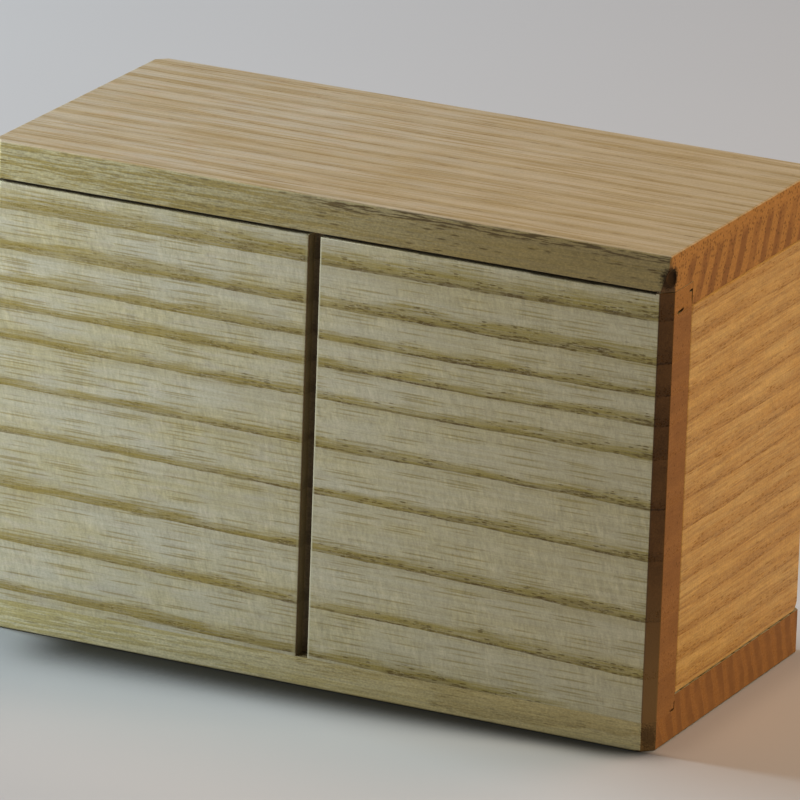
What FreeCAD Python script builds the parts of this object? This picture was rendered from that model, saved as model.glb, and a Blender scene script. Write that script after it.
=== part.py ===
import FreeCAD, Part
import os
import Sketcher

# A small hardwood box with a sliding lid. The frame: origin at the middle of the underside, X along the
# box from left to right, Y from front to back, Z up. All lengths are in millimetres.

TOLERANCE = 1e-4

SIZES = [
    ("box_width", 120.0, "left end to right end, along the grain of the long boards"),
    ("box_depth", 58.4, "front face to back face"),
    ("box_height", 82.0, "underside to the top of the lid"),
    ("lid_thickness", 10.0, "lid board between its lips"),
    ("lid_lip", 6.15, "lid board where it lies over the long walls"),
    ("floor_thickness", 7.5, "bottom board between its rabbets"),
    ("floor_lip", 4.9, "bottom board under the long walls"),
    ("front_thickness", 8.5, "front panel"),
    ("back_thickness", 8.5, "back panel"),
    ("end_thickness", 8.0, "both end panels"),
    ("shadow_gap", 0.5, "open joint between the long walls and the lips of the lid"),
    ("gap_land", 2.4, "length at the right end where the front panel closes that joint"),
    ("slide_gap", 0.1, "clearance between flat faces that slide on each other"),
    ("kerf_width", 2.0, "saw kerf down the front panel"),
    ("kerf_depth", 2.2, "depth of that kerf"),
    ("kerf_shift", 1.75, "kerf to the left of the middle of the box"),
    ("corner_chamfer", 1.8, "planed corners of the box"),
    ("lid_corner_lean", 0.3, "how far the lid's front right chamfer has passed the corner at the top"),
    ("lid_front_round", 0.6, "softened front arris of the lid"),
    ("arris_round", 0.4, "all other softened arrises"),
    ("panel_travel", 2.0, "how far the right end panel slides back"),
    ("panel_round", 2.0, "rear corners of the right end panel"),
    ("inner_wall", 3.5, "thickness of the inner end wall"),
    ("inner_wall_gap", 0.3, "open space between inner end wall and sliding end panel"),
    ("housing_depth", 1.5, "how deep the inner end wall is let into the long walls"),
    ("runner_neck", 8.0, "dovetail runner where it leaves the inner end wall"),
    ("runner_flare", 1.1, "widening of the runner on each side"),
    ("runner_depth", 3.2, "how far the runner stands out of the inner end wall"),
    ("runner_seat", 1.0, "how deep the runner is let into the inner end wall"),
    ("runner_gap", 0.15, "clearance round the runner"),
    ("runner_inset", 2.7, "rear end of the runner to the back panel"),
    ("key_size", 3.5, "width and length of the locking key"),
    ("key_inset", 5.0, "middle of the key to the outer face of the end panel"),
    ("key_shift", 6.0, "key behind the middle of the box"),
    ("key_seat", 4.0, "how deep the key is let into the end panel"),
    ("key_reach", 2.8, "how far the key stands up into the lid"),
    ("key_gap", 0.25, "clearance round the key in the lid"),
    ("key_bevel", 0.4, "bevel round the top of the key"),
    ("spline_thickness", 1.2, "strips that hold the lid down"),
    ("spline_lift", 1.0, "underside of the lid board to the underside of the strips"),
    ("spline_seat", 2.2, "how deep the strips are let into the long walls"),
    ("spline_reach", 1.6, "how far the strips stand into the lid"),
    ("spline_left_inset", 4.0, "left ends of the strips to the left end of the box"),
    ("spline_right_inset", 14.0, "right ends of the strips to the right end of the box"),
    ("stop_gap", 0.2, "lengthwise clearance where the closed lid meets its stops"),
    ("dowel_radius", 2.0, "hidden dowels of the fixed end"),
    ("dowel_gap", 0.02, "radial clearance of the dowels for glue"),
    ("dowel_in_wall", 5.0, "length of dowel in the long wall"),
    ("dowel_in_end", 7.0, "length of dowel in the end panel"),
    ("dowel_edge", 15.0, "dowels to the upper and lower edge of the end panel"),
]


class Length:
    """A length in mm, kept with the sheet formula that it is worked out by."""

    def __init__(self, value, formula):
        self.value = float(value)
        self.formula = formula

    def __add__(self, other):
        return Length(self.value + other.value, f"({self.formula} + {other.formula})")

    def __sub__(self, other):
        return Length(self.value - other.value, f"({self.formula} - {other.formula})")

    def __mul__(self, factor):
        return Length(self.value * factor, f"({self.formula} * {factor})")

    def __truediv__(self, divisor):
        return Length(self.value / divisor, f"({self.formula} / {divisor})")

    def __neg__(self):
        return Length(-self.value, f"(-{self.formula})")

    def ratio(self, other):
        """This length as a bare share of another one."""
        return Length(self.value / other.value, f"({self.formula} / {other.formula})")

    def times(self, share):
        return Length(self.value * share.value, f"({self.formula} * {share.formula})")


ZERO = Length(0.0, "0")


def write_sheet(doc):
    """Writes the sizes into the sheet and returns them by name."""
    sheet = doc.addObject("Spreadsheet::Sheet", "Sizes")
    lengths = {}
    for row, (name, value, note) in enumerate(SIZES, start=1):
        sheet.set(f"A{row}", name)
        sheet.set(f"B{row}", str(value))
        sheet.setAlias(f"B{row}", name)
        sheet.set(f"C{row}", note)
        lengths[name] = Length(value, f"Sizes.{name}")
    doc.recompute()
    return lengths


def work_out_places(size):
    """Adds the levels and faces that several pieces share."""
    half_width = size["box_width"] / 2
    half_depth = size["box_depth"] / 2
    size["right"] = half_width
    size["left"] = -half_width
    size["back"] = half_depth
    size["front"] = -half_depth
    size["front_inside"] = size["front"] + size["front_thickness"]
    size["back_inside"] = size["back"] - size["back_thickness"]
    size["lid_underside"] = size["box_height"] - size["lid_thickness"]
    size["lip_underside"] = size["box_height"] - size["lid_lip"]
    size["wall_top"] = size["lip_underside"] - size["shadow_gap"]
    size["land_top"] = size["lip_underside"] - size["slide_gap"]
    size["end_top"] = size["lid_underside"] - size["slide_gap"]
    size["lid_front_shoulder"] = size["front_inside"] + size["slide_gap"]
    size["lid_back_shoulder"] = size["back_inside"] - size["slide_gap"]
    size["panel_inside"] = size["right"] - size["end_thickness"]
    size["inner_wall_right"] = size["panel_inside"] - size["inner_wall_gap"]
    size["inner_wall_left"] = size["inner_wall_right"] - size["inner_wall"]
    size["panel_front"] = size["front_inside"] + size["slide_gap"]
    size["panel_back"] = size["back"] - size["panel_travel"]
    size["panel_bottom"] = size["floor_thickness"] + size["slide_gap"]
    size["runner_height"] = (size["floor_thickness"] + size["lid_underside"]) / 2
    size["runner_back"] = size["back_inside"] - size["runner_inset"]
    size["runner_front"] = size["front_inside"]
    size["key_middle"] = size["right"] - size["key_inset"]
    size["spline_bottom"] = size["lid_underside"] + size["spline_lift"]
    size["spline_left"] = size["left"] + size["spline_left_inset"]
    size["spline_right"] = size["right"] - size["spline_right_inset"]
    size["dowel_middle"] = size["left"] + size["end_thickness"] / 2
    size["dowel_low"] = size["floor_thickness"] + size["dowel_edge"]
    size["dowel_high"] = size["lid_underside"] - size["dowel_edge"]


def add_body(doc, label):
    body = doc.addObject("PartDesign::Body", label)
    body.Label = label
    return body


def add_sketch(body, name, role, offset=ZERO):
    """A sketch on one of the body's own planes, moved along that plane's normal."""
    sketch = body.newObject("Sketcher::SketchObject", name)
    plane = next(part for part in body.Origin.OriginFeatures if part.Role == role)
    sketch.AttachmentSupport = [(plane, "")]
    sketch.MapMode = "FlatFace"
    if offset is not ZERO:
        sketch.setExpression("AttachmentOffset.Base.z", offset.formula)
    return sketch


def place_point(sketch, curve, point, across, up):
    """Ties one point of a curve to the sketch's origin by two lengths."""
    for kind, length, axis in (("DistanceX", across, -2), ("DistanceY", up, -1)):
        if length is ZERO:
            sketch.addConstraint(Sketcher.Constraint("PointOnObject", curve, point, axis))
            continue
        number = sketch.addConstraint(Sketcher.Constraint(kind, -1, 1, curve, point, length.value))
        sketch.setExpression(f"Constraints[{number}]", length.formula)


def add_outline(sketch, corners):
    """A closed outline of straight lines through the corners."""
    first = sketch.GeometryCount
    points = [FreeCAD.Vector(across.value, up.value, 0) for across, up in corners]
    for start, end in zip(points, points[1:] + points[:1]):
        sketch.addGeometry(Part.LineSegment(start, end))
    for index in range(len(corners)):
        after = (index + 1) % len(corners)
        sketch.addConstraint(Sketcher.Constraint("Coincident", first + index, 2, first + after, 1))
    for index, (across, up) in enumerate(corners):
        place_point(sketch, first + index, 1, across, up)


def add_rectangle(sketch, low, high):
    add_outline(sketch, [low, (high[0], low[1]), high, (low[0], high[1])])


def add_circle(sketch, centre, radius):
    middle = FreeCAD.Vector(centre[0].value, centre[1].value, 0)
    curve = sketch.addGeometry(Part.Circle(middle, FreeCAD.Vector(0, 0, 1), radius.value))
    place_point(sketch, curve, 3, *centre)
    number = sketch.addConstraint(Sketcher.Constraint("Radius", curve, radius.value))
    sketch.setExpression(f"Constraints[{number}]", radius.formula)


def pad(body, name, sketch, length):
    """Grows the sketch along its normal."""
    feature = body.newObject("PartDesign::Pad", name)
    feature.Profile = sketch
    feature.setExpression("Length", length.formula)
    sketch.Visibility = False
    return feature


def pocket(body, name, sketch, depth, along_normal):
    """Cuts the sketch into the body, along its normal or against it."""
    feature = body.newObject("PartDesign::Pocket", name)
    feature.Profile = sketch
    feature.setExpression("Length", depth.formula)
    feature.Reversed = along_normal
    sketch.Visibility = False
    return feature


def edges_by(shape, test):
    return [f"Edge{number}" for number, edge in enumerate(shape.Edges, start=1) if test(edge)]


def dress(body, kind, name, base, test, size_name, size):
    """Puts a fillet or chamfer on those edges of the base feature that pass the test."""
    body.Document.recompute()
    feature = body.newObject(f"PartDesign::{kind}", name)
    feature.Base = (base, edges_by(base.Shape, test))
    feature.setExpression(size_name, size.formula)
    return feature


def near(one, length):
    return abs(one - length.value) < TOLERANCE


def upright(edge):
    box = edge.BoundBox
    return box.XLength < TOLERANCE and box.YLength < TOLERANCE


def is_corner(edge, size):
    """True for an upright edge at one of the four corners of the box."""
    middle = edge.BoundBox.Center
    at_end = near(abs(middle.x), size["right"])
    return upright(edge) and at_end and near(abs(middle.y), size["back"])


def is_plain_lid_corner(edge, size):
    """True for a corner of the lid that is chamfered all the way up: every one but the front right."""
    middle = edge.BoundBox.Center
    front_right = near(middle.x, size["right"]) and near(middle.y, size["front"])
    return is_corner(edge, size) and not front_right


def build_bottom_board(doc, size):
    """The floor, with a rabbet along the front and one at the back that stops short of the right end."""
    body = add_body(doc, "bottom_board")
    profile = add_sketch(body, "bottom_profile", "YZ_Plane", size["left"])
    add_outline(profile, [
        (size["front"], ZERO),
        (size["back"], ZERO),
        (size["back"], size["floor_thickness"]),
        (size["front_inside"], size["floor_thickness"]),
        (size["front_inside"], size["floor_lip"]),
        (size["front"], size["floor_lip"]),
    ])
    pad(body, "bottom_blank", profile, size["box_width"])
    rabbet = add_sketch(body, "bottom_back_rabbet_outline", "YZ_Plane", size["left"])
    add_rectangle(rabbet, (size["back_inside"], size["floor_lip"]), (size["back"], size["floor_thickness"]))
    length = size["inner_wall_right"] - size["left"]
    cut = pocket(body, "bottom_back_rabbet", rabbet, length, True)
    corners = dress(body, "Chamfer", "bottom_corners", cut, lambda edge: is_corner(edge, size),
                    "Size", size["corner_chamfer"])

    def is_lower_edge(edge):
        return near(edge.BoundBox.ZMax, ZERO)

    dress(body, "Fillet", "bottom_arrises", corners, is_lower_edge, "Radius", size["arris_round"])
    return body


def lid_channel_corners(size):
    """The outline of the key's channel: a long leg to the left end and a notch towards the back."""
    half = size["key_size"] / 2 + size["key_gap"]
    near_side = size["key_shift"] - half
    far_side = size["key_shift"] + half
    notch_side = far_side + size["panel_travel"]
    notch_left = size["key_middle"] - half
    notch_right = size["key_middle"] + half
    return [
        (size["left"], near_side),
        (notch_right, near_side),
        (notch_right, notch_side),
        (notch_left, notch_side),
        (notch_left, far_side),
        (size["left"], far_side),
    ]


def add_leaning_chamfer(body, size):
    """The lid's front right chamfer, which narrows upwards and dies out just below the top."""
    clear = size["corner_chamfer"]
    sections = []
    for name, level, leg in (
        ("lid_chamfer_foot", size["lip_underside"], size["corner_chamfer"]),
        ("lid_chamfer_head", size["box_height"], -size["lid_corner_lean"]),
    ):
        section = add_sketch(body, name, "XY_Plane", level)
        add_outline(section, [
            (size["right"] - leg - clear, size["front"] - clear),
            (size["right"] + clear, size["front"] - clear),
            (size["right"] + clear, size["front"] + leg + clear),
        ])
        section.Visibility = False
        sections.append(section)
    loft = body.newObject("PartDesign::SubtractiveLoft", "lid_leaning_chamfer")
    loft.Profile = sections[0]
    loft.Sections = [sections[1]]
    loft.Ruled = True
    return loft


def build_lid_board(doc, size):
    """The lid: thick between the long walls, with a lip over each of them, and grooved to slide."""
    body = add_body(doc, "lid_board")
    profile = add_sketch(body, "lid_profile", "YZ_Plane", size["left"])
    add_outline(profile, [
        (size["front"], size["lip_underside"]),
        (size["lid_front_shoulder"], size["lip_underside"]),
        (size["lid_front_shoulder"], size["lid_underside"]),
        (size["back"], size["lid_underside"]),
        (size["back"], size["box_height"]),
        (size["front"], size["box_height"]),
    ])
    pad(body, "lid_blank", profile, size["box_width"])

    rabbet = add_sketch(body, "lid_back_rabbet_outline", "YZ_Plane", size["left"])
    add_rectangle(rabbet, (size["lid_back_shoulder"], size["lid_underside"]),
                  (size["back"], size["lip_underside"]))
    rabbet_length = size["inner_wall_right"] + size["stop_gap"] - size["left"]
    pocket(body, "lid_back_rabbet", rabbet, rabbet_length, True)

    grooves = add_sketch(body, "lid_groove_outlines", "YZ_Plane", size["left"])
    low = size["spline_bottom"] - size["slide_gap"]
    high = size["spline_bottom"] + size["spline_thickness"] + size["slide_gap"]
    reach = size["spline_reach"] + size["slide_gap"]
    add_rectangle(grooves, (size["lid_front_shoulder"], low), (size["lid_front_shoulder"] + reach, high))
    add_rectangle(grooves, (size["lid_back_shoulder"] - reach, low), (size["lid_back_shoulder"], high))
    groove_length = size["spline_right"] + size["stop_gap"] - size["left"]
    pocket(body, "lid_grooves", grooves, groove_length, True)

    channel = add_sketch(body, "lid_channel_outline", "XY_Plane", size["lid_underside"])
    add_outline(channel, lid_channel_corners(size))
    depth = size["key_reach"] - size["slide_gap"] + size["key_gap"]
    cut = pocket(body, "lid_channel", channel, depth, True)

    corners = dress(body, "Chamfer", "lid_corners", cut, lambda edge: is_plain_lid_corner(edge, size),
                    "Size", size["corner_chamfer"])
    leaning = add_leaning_chamfer(body, size)

    def is_front_arris(edge):
        box = edge.BoundBox
        return near(box.ZMin, size["box_height"]) and near(box.YMax, size["front"])

    def is_other_top_edge(edge):
        box = edge.BoundBox
        behind_corners = size["front"] + size["corner_chamfer"]
        return near(box.ZMin, size["box_height"]) and box.YMax > behind_corners.value

    front = dress(body, "Fillet", "lid_front_arris", leaning, is_front_arris,
                  "Radius", size["lid_front_round"])
    dress(body, "Fillet", "lid_arrises", front, is_other_top_edge, "Radius", size["arris_round"])
    return body


def build_front_panel(doc, size):
    """The front wall: kerfed down its face, cut back under the lid, housed and grooved inside."""
    body = add_body(doc, "front_panel")
    kerf_middle = -size["kerf_shift"]
    kerf_left = kerf_middle - size["kerf_width"] / 2
    kerf_right = kerf_middle + size["kerf_width"] / 2
    kerf_floor = size["front"] + size["kerf_depth"]
    housing_floor = size["front_inside"] - size["housing_depth"]
    plan = add_sketch(body, "front_plan", "XY_Plane", size["floor_lip"])
    add_outline(plan, [
        (size["left"] + size["corner_chamfer"], size["front"]),
        (kerf_left, size["front"]),
        (kerf_left, kerf_floor),
        (kerf_right, kerf_floor),
        (kerf_right, size["front"]),
        (size["right"] - size["corner_chamfer"], size["front"]),
        (size["right"], size["front"] + size["corner_chamfer"]),
        (size["right"], size["front_inside"]),
        (size["inner_wall_right"], size["front_inside"]),
        (size["inner_wall_right"], housing_floor),
        (size["inner_wall_left"], housing_floor),
        (size["inner_wall_left"], size["front_inside"]),
        (size["left"], size["front_inside"]),
        (size["left"], size["front"] + size["corner_chamfer"]),
    ])
    pad(body, "front_blank", plan, size["land_top"] - size["floor_lip"])
    gap = add_sketch(body, "front_gap_outline", "XZ_Plane", -size["front_inside"])
    add_rectangle(gap, (size["left"], size["wall_top"]), (size["right"] - size["gap_land"], size["land_top"]))
    pocket(body, "front_gap", gap, size["front_thickness"], True)
    seat = add_sketch(body, "front_strip_seat_outline", "XZ_Plane", -size["front_inside"])
    add_rectangle(seat, (size["spline_left"], size["spline_bottom"]),
                  (size["spline_right"], size["spline_bottom"] + size["spline_thickness"]))
    pocket(body, "front_strip_seat", seat, size["spline_seat"], True)
    add_dowel_holes(body, "front", size, size["front_inside"], size["dowel_in_wall"], True)
    return body


def build_back_panel(doc, size):
    """The back wall. It ends at the inner end wall, so the sliding end panel can pass behind it."""
    body = add_body(doc, "back_panel")
    housing_floor = size["back_inside"] + size["housing_depth"]
    plan = add_sketch(body, "back_plan", "XY_Plane", size["floor_lip"])
    add_outline(plan, [
        (size["left"], size["back_inside"]),
        (size["inner_wall_left"], size["back_inside"]),
        (size["inner_wall_left"], housing_floor),
        (size["inner_wall_right"], housing_floor),
        (size["inner_wall_right"], size["back"]),
        (size["left"] + size["corner_chamfer"], size["back"]),
        (size["left"], size["back"] - size["corner_chamfer"]),
    ])
    pad(body, "back_blank", plan, size["wall_top"] - size["floor_lip"])
    seat = add_sketch(body, "back_strip_seat_outline", "XZ_Plane", -size["back_inside"])
    add_rectangle(seat, (size["spline_left"], size["spline_bottom"]),
                  (size["spline_right"], size["spline_bottom"] + size["spline_thickness"]))
    pocket(body, "back_strip_seat", seat, size["spline_seat"], False)
    add_dowel_holes(body, "back", size, size["back_inside"], size["dowel_in_wall"], False)
    return body


def add_dowel_holes(body, name, size, face, depth, towards_front):
    """Two dowel holes at the fixed end, bored from an upright face along the box's depth."""
    holes = add_sketch(body, f"{name}_dowel_holes_outline", "XZ_Plane", -face)
    radius = size["dowel_radius"] + size["dowel_gap"]
    for height in (size["dowel_low"], size["dowel_high"]):
        add_circle(holes, (size["dowel_middle"], height), radius)
    pocket(body, f"{name}_dowel_holes", holes, depth + size["slide_gap"], towards_front)


def build_left_end_panel(doc, size):
    """The fixed end, dowelled between the long walls."""
    body = add_body(doc, "left_end_panel")
    face = add_sketch(body, "left_end_outline", "YZ_Plane", size["left"])
    add_rectangle(face, (size["front_inside"], size["floor_thickness"]), (size["back_inside"], size["end_top"]))
    pad(body, "left_end_blank", face, size["end_thickness"])
    add_dowel_holes(body, "left_end_front", size, size["front_inside"], size["dowel_in_end"], False)
    add_dowel_holes(body, "left_end_back", size, size["back_inside"], size["dowel_in_end"], True)
    return body


def build_inner_end_wall(doc, size):
    """The wall that closes the inside at the right, housed in the long walls, with a seat for the runner."""
    body = add_body(doc, "inner_end_wall")
    half_neck = size["runner_neck"] / 2
    seat_floor = size["inner_wall_right"] - size["runner_seat"]
    section = add_sketch(body, "inner_wall_section", "XZ_Plane", -size["front_inside"] + size["housing_depth"])
    add_outline(section, [
        (size["inner_wall_left"], size["floor_thickness"]),
        (size["inner_wall_right"], size["floor_thickness"]),
        (size["inner_wall_right"], size["runner_height"] - half_neck),
        (seat_floor, size["runner_height"] - half_neck),
        (seat_floor, size["runner_height"] + half_neck),
        (size["inner_wall_right"], size["runner_height"] + half_neck),
        (size["inner_wall_right"], size["end_top"]),
        (size["inner_wall_left"], size["end_top"]),
    ])
    length = size["back_inside"] - size["front_inside"] + size["housing_depth"] * 2
    blank = pad(body, "inner_wall_blank", section, length)
    blank.Reversed = True
    return body


def build_end_panel_runner(doc, size):
    """The dovetailed batten that the sliding end panel hangs on."""
    body = add_body(doc, "end_panel_runner")
    half_neck = size["runner_neck"] / 2
    half_head = half_neck + size["runner_flare"]
    root = size["inner_wall_right"] - size["runner_seat"]
    tip = size["inner_wall_right"] + size["runner_depth"]
    section = add_sketch(body, "runner_section", "XZ_Plane", -size["runner_front"])
    add_outline(section, [
        (root, size["runner_height"] - half_neck),
        (size["inner_wall_right"], size["runner_height"] - half_neck),
        (tip, size["runner_height"] - half_head),
        (tip, size["runner_height"] + half_head),
        (size["inner_wall_right"], size["runner_height"] + half_neck),
        (root, size["runner_height"] + half_neck),
    ])
    blank = pad(body, "runner_blank", section, size["runner_back"] - size["runner_front"])
    blank.Reversed = True
    return body


def build_right_end_panel(doc, size):
    """The end panel that slides back, with a stopped dovetail groove inside and a mortise for the key."""
    body = add_body(doc, "right_end_panel")
    face = add_sketch(body, "panel_outline", "YZ_Plane", size["panel_inside"])
    add_rectangle(face, (size["panel_front"], size["panel_bottom"]), (size["panel_back"], size["end_top"]))
    pad(body, "panel_blank", face, size["end_thickness"])

    slope = size["runner_flare"].ratio(size["runner_depth"])
    half_neck = size["runner_neck"] / 2 + size["runner_gap"]
    mouth_half = half_neck + size["inner_wall_gap"].times(slope)
    groove_floor = size["inner_wall_right"] + size["runner_depth"] + size["runner_gap"]
    floor_half = half_neck + (size["runner_depth"] + size["runner_gap"]).times(slope)
    groove = add_sketch(body, "panel_groove_section", "XZ_Plane", -size["panel_front"])
    add_outline(groove, [
        (size["panel_inside"], size["runner_height"] - mouth_half),
        (groove_floor, size["runner_height"] - floor_half),
        (groove_floor, size["runner_height"] + floor_half),
        (size["panel_inside"], size["runner_height"] + mouth_half),
    ])
    groove_length = size["runner_back"] + size["inner_wall_gap"] - size["panel_front"]
    pocket(body, "panel_groove", groove, groove_length, False)

    mortise = add_sketch(body, "panel_mortise_outline", "XY_Plane", size["end_top"])
    half_key = size["key_size"] / 2
    add_rectangle(mortise, (size["key_middle"] - half_key, size["key_shift"] - half_key),
                  (size["key_middle"] + half_key, size["key_shift"] + half_key))
    cut = pocket(body, "panel_mortise", mortise, size["key_seat"], False)

    def is_rear_corner(edge):
        box = edge.BoundBox
        at_back = near(box.YMin, size["panel_back"]) and near(box.YMax, size["panel_back"])
        return at_back and box.ZLength < TOLERANCE and box.XLength > TOLERANCE

    def is_outer_edge(edge):
        box = edge.BoundBox
        return near(box.XMin, size["right"])

    corners = dress(body, "Fillet", "panel_rear_corners", cut, is_rear_corner, "Radius", size["panel_round"])
    dress(body, "Fillet", "panel_arrises", corners, is_outer_edge, "Radius", size["arris_round"])
    return body


def build_locking_key(doc, size):
    """The small block that stands up out of the sliding end panel into the lid."""
    body = add_body(doc, "locking_key")
    half_key = size["key_size"] / 2
    plan = add_sketch(body, "key_plan", "XY_Plane", size["end_top"] - size["key_seat"])
    add_rectangle(plan, (size["key_middle"] - half_key, size["key_shift"] - half_key),
                  (size["key_middle"] + half_key, size["key_shift"] + half_key))
    blank = pad(body, "key_blank", plan, size["key_seat"] + size["key_reach"])
    top = size["end_top"] + size["key_reach"]

    def is_top_edge(edge):
        return near(edge.BoundBox.ZMin, top)

    dress(body, "Chamfer", "key_bevels", blank, is_top_edge, "Size", size["key_bevel"])
    return body


def build_spline(doc, size, label, near_face):
    """One thin strip that stands out of a long wall into a groove of the lid."""
    strip = doc.addObject("Part::Box", label)
    strip.Label = label
    strip.setExpression("Length", (size["spline_right"] - size["spline_left"]).formula)
    strip.setExpression("Width", (size["spline_seat"] + size["slide_gap"] + size["spline_reach"]).formula)
    strip.setExpression("Height", size["spline_thickness"].formula)
    strip.setExpression("Placement.Base.x", size["spline_left"].formula)
    strip.setExpression("Placement.Base.y", near_face.formula)
    strip.setExpression("Placement.Base.z", size["spline_bottom"].formula)
    return strip


def build_corner_dowels(doc, size):
    """The four hidden dowels of the fixed end, as one group."""
    length = size["dowel_in_wall"] + size["dowel_in_end"]
    starts = {
        "front": size["front_inside"] - size["dowel_in_wall"],
        "back": size["back_inside"] - size["dowel_in_end"],
    }
    dowels = []
    for side, start in starts.items():
        for place in ("low", "high"):
            dowel = doc.addObject("Part::Cylinder", f"{side}_{place}_dowel")
            dowel.Placement.Rotation = FreeCAD.Rotation(FreeCAD.Vector(1, 0, 0), -90)
            dowel.setExpression("Radius", size["dowel_radius"].formula)
            dowel.setExpression("Height", length.formula)
            dowel.setExpression("Placement.Base.x", size["dowel_middle"].formula)
            dowel.setExpression("Placement.Base.y", start.formula)
            dowel.setExpression("Placement.Base.z", size[f"dowel_{place}"].formula)
            dowels.append(dowel)
    group = doc.addObject("Part::Compound", "corner_dowels")
    group.Label = "corner_dowels"
    group.Links = dowels
    return group


def build_pieces(doc, size):
    back_reach = size["spline_reach"] + size["slide_gap"]
    return [
        build_bottom_board(doc, size),
        build_front_panel(doc, size),
        build_back_panel(doc, size),
        build_left_end_panel(doc, size),
        build_inner_end_wall(doc, size),
        build_end_panel_runner(doc, size),
        build_right_end_panel(doc, size),
        build_locking_key(doc, size),
        build_spline(doc, size, "front_lid_spline", size["front_inside"] - size["spline_seat"]),
        build_spline(doc, size, "back_lid_spline", size["back_inside"] - back_reach),
        build_corner_dowels(doc, size),
        build_lid_board(doc, size),
    ]


def check_features(doc):
    """Stops at a failed object and at a cut or an arris that took nothing away."""
    least_volume = 1e-3
    for part in doc.Objects:
        if "Invalid" in part.State or "Error" in part.State:
            raise RuntimeError(f"{part.Name} failed: {part.State}")
        base = getattr(part, "BaseFeature", None)
        if part.TypeId == "PartDesign::Body" or base is None:
            continue
        if base.Shape.Volume - part.Shape.Volume < least_volume:
            raise RuntimeError(f"{part.Name} took nothing away")


def write_pieces(pieces):
    os.makedirs("parts", exist_ok=True)
    for piece in pieces:
        shape = piece.Shape
        if shape.isNull() or not shape.isValid():
            raise RuntimeError(f"{piece.Label} has no valid shape")
        shape.exportStep(f"parts/{piece.Label}.step")
        print(f"{piece.Label}: {len(shape.Solids)} solid, {shape.Volume / 1000:.2f} cm3")


def main():
    doc = FreeCAD.newDocument("sliding_lid_box")
    size = write_sheet(doc)
    work_out_places(size)
    pieces = build_pieces(doc, size)
    doc.recompute()
    check_features(doc)
    write_pieces(pieces)


main()
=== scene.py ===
import math

import bpy
from mathutils import Matrix, Vector


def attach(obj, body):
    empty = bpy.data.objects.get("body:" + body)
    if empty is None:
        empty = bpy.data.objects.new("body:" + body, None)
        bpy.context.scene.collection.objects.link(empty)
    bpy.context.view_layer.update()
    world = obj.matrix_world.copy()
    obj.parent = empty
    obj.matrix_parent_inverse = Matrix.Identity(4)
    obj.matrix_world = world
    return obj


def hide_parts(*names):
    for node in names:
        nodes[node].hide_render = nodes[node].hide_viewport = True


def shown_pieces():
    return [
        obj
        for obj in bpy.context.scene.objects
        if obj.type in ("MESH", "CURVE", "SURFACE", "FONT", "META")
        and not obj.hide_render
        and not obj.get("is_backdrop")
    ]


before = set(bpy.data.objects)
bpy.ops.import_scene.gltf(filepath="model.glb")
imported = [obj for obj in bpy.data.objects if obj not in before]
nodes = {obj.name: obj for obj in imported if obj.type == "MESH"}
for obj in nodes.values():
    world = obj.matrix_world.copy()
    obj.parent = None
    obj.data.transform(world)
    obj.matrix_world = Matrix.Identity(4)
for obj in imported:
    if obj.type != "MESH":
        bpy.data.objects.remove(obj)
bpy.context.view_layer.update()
mm = 0.001
print("frame loaded,", len(nodes), "nodes")


# Small helpers for building node trees

def giveInput(tree, socket, value):
    if isinstance(value, bpy.types.NodeSocket):
        tree.links.new(value, socket)
    else:
        socket.default_value = value


def addNode(tree, kind, inputs=None, **settings):
    made = tree.nodes.new(kind)
    for key, value in settings.items():
        setattr(made, key, value)
    for key, value in (inputs or {}).items():
        giveInput(tree, made.inputs[key], value)
    return made


def maths(tree, operation, first, second=0.0, third=0.0, clamp=False):
    made = addNode(tree, "ShaderNodeMath", operation=operation, use_clamp=clamp)
    for socket, value in zip(made.inputs, (first, second, third)):
        giveInput(tree, socket, value)
    return made.outputs[0]


def times(tree, first, second):
    return maths(tree, "MULTIPLY", first, second)


def plus(tree, first, second):
    return maths(tree, "ADD", first, second)


def rise(tree, value, start, end, low=0.0, high=1.0):
    # smooth step from low at start to high at end
    made = addNode(tree, "ShaderNodeMapRange", interpolation_type="SMOOTHSTEP")
    for name, given in (("Value", value), ("From Min", start), ("From Max", end),
                        ("To Min", low), ("To Max", high)):
        giveInput(tree, made.inputs[name], given)
    return made.outputs["Result"]


def blendColours(tree, factor, first, second, mode="MIX"):
    made = addNode(tree, "ShaderNodeMix", data_type="RGBA", blend_type=mode)
    giveInput(tree, made.inputs[0], factor)
    for index, value in ((6, first), (7, second)):
        if not isinstance(value, bpy.types.NodeSocket):
            value = (*value, 1.0)
        giveInput(tree, made.inputs[index], value)
    return made.outputs[2]


def stretched(tree, axes, lengths, shift=0.0):
    # a point in the wood, measured in cells of the given lengths in mm: along the grain and twice across
    made = tree.nodes.new("ShaderNodeCombineXYZ")
    for socket, axis, length in zip(made.inputs, axes, lengths):
        giveInput(tree, socket, maths(tree, "MULTIPLY_ADD", axis, 1.0 / length, shift))
    return made.outputs[0]


def noiseIn(tree, point, detail=2.0, roughness=0.5, distortion=0.0):
    made = addNode(tree, "ShaderNodeTexNoise", {"Vector": point, "Scale": 1.0, "Detail": detail,
                                                "Roughness": roughness, "Distortion": distortion})
    return made.outputs["Fac"]


def centred(tree, noise, reach):
    # noise about 0.5 turned into a swing of plus or minus reach
    return maths(tree, "MULTIPLY_ADD", noise, 4.0 * reach, -2.0 * reach)


# The camera, from a fit to the straight edges of the box

cameraView = {
    "place": (0.6277, -1.3150, 0.5065),
    "right": (0.8974, 0.4399, 0.0331),
    "forward": (-0.4102, 0.8596, -0.3046),
    "lens": 426.3,
    "sensor": 36.0,
    "clip": (0.05, 60.0),
}


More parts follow.
